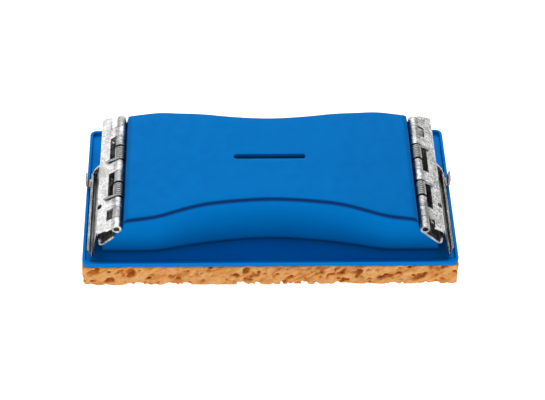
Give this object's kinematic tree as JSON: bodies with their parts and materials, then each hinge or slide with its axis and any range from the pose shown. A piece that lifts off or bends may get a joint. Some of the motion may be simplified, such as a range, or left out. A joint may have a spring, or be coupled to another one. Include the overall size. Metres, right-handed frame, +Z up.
{
  "type": "chalkboard eraser",
  "caption": "Hand block with a hollow waisted grip on a rimmed tray, a cellulose sponge sole, and a sprung sheet-metal cloth clamp hinged at each end.",
  "frame": {"origin": "centre of the sponge's flat underside", "axes": "+Z up out of the grip's top, +X along the block's length, +Y towards the rear long side"},
  "size_m": [0.1656, 0.0856, 0.0376],
  "materials": {
    "grip_plastic": "satin",
    "tray_plastic": "satin",
    "plated_screw": "zinc plated",
    "adhesive": "matte",
    "sponge": "open-pored cellulose",
    "sheet_steel": "plated, scuffed",
    "jaw_steel": "plated, scuffed",
    "rivet_steel": "plated",
    "pin_steel": "drawn",
    "spring_steel": "drawn wire"
  },
  "bodies": {
    "block": {"grip_shell": "grip_plastic", "base_tray": "tray_plastic", "base_screws": "plated_screw", "adhesive_sheet": "adhesive", "sponge_pad": "sponge", "left_fixed_leaf": "sheet_steel", "left_leaf_rivets": "rivet_steel", "left_rivet_washers": "rivet_steel", "left_hinge_pin": "pin_steel", "left_spring_rear": "spring_steel", "left_spring_front": "spring_steel", "right_fixed_leaf": "sheet_steel", "right_leaf_rivets": "rivet_steel", "right_rivet_washers": "rivet_steel", "right_hinge_pin": "pin_steel", "right_spring_rear": "spring_steel", "right_spring_front": "spring_steel"},
    "left_jaw": {"left_jaw_leaf": "jaw_steel"},
    "right_jaw": {"right_jaw_leaf": "jaw_steel"}
  },
  "joints": [
    {"name": "left_jaw_hinge", "type": "hinge", "parent": "block", "child": "left_jaw", "pos_m": [-0.067, 0, 0.0286], "axis": [0, 1, 0], "range_deg": [0, 75], "stiffness_Nm_per_rad": 0.1, "springref_deg": -40.11, "deforming": ["left_spring_rear", "left_spring_front"]},
    {"name": "right_jaw_hinge", "type": "hinge", "parent": "block", "child": "right_jaw", "pos_m": [0.067, 0, 0.0286], "axis": [0, -1, 0], "range_deg": [0, 75], "stiffness_Nm_per_rad": 0.1, "springref_deg": -40.11, "deforming": ["right_spring_rear", "right_spring_front"]}
  ]
}
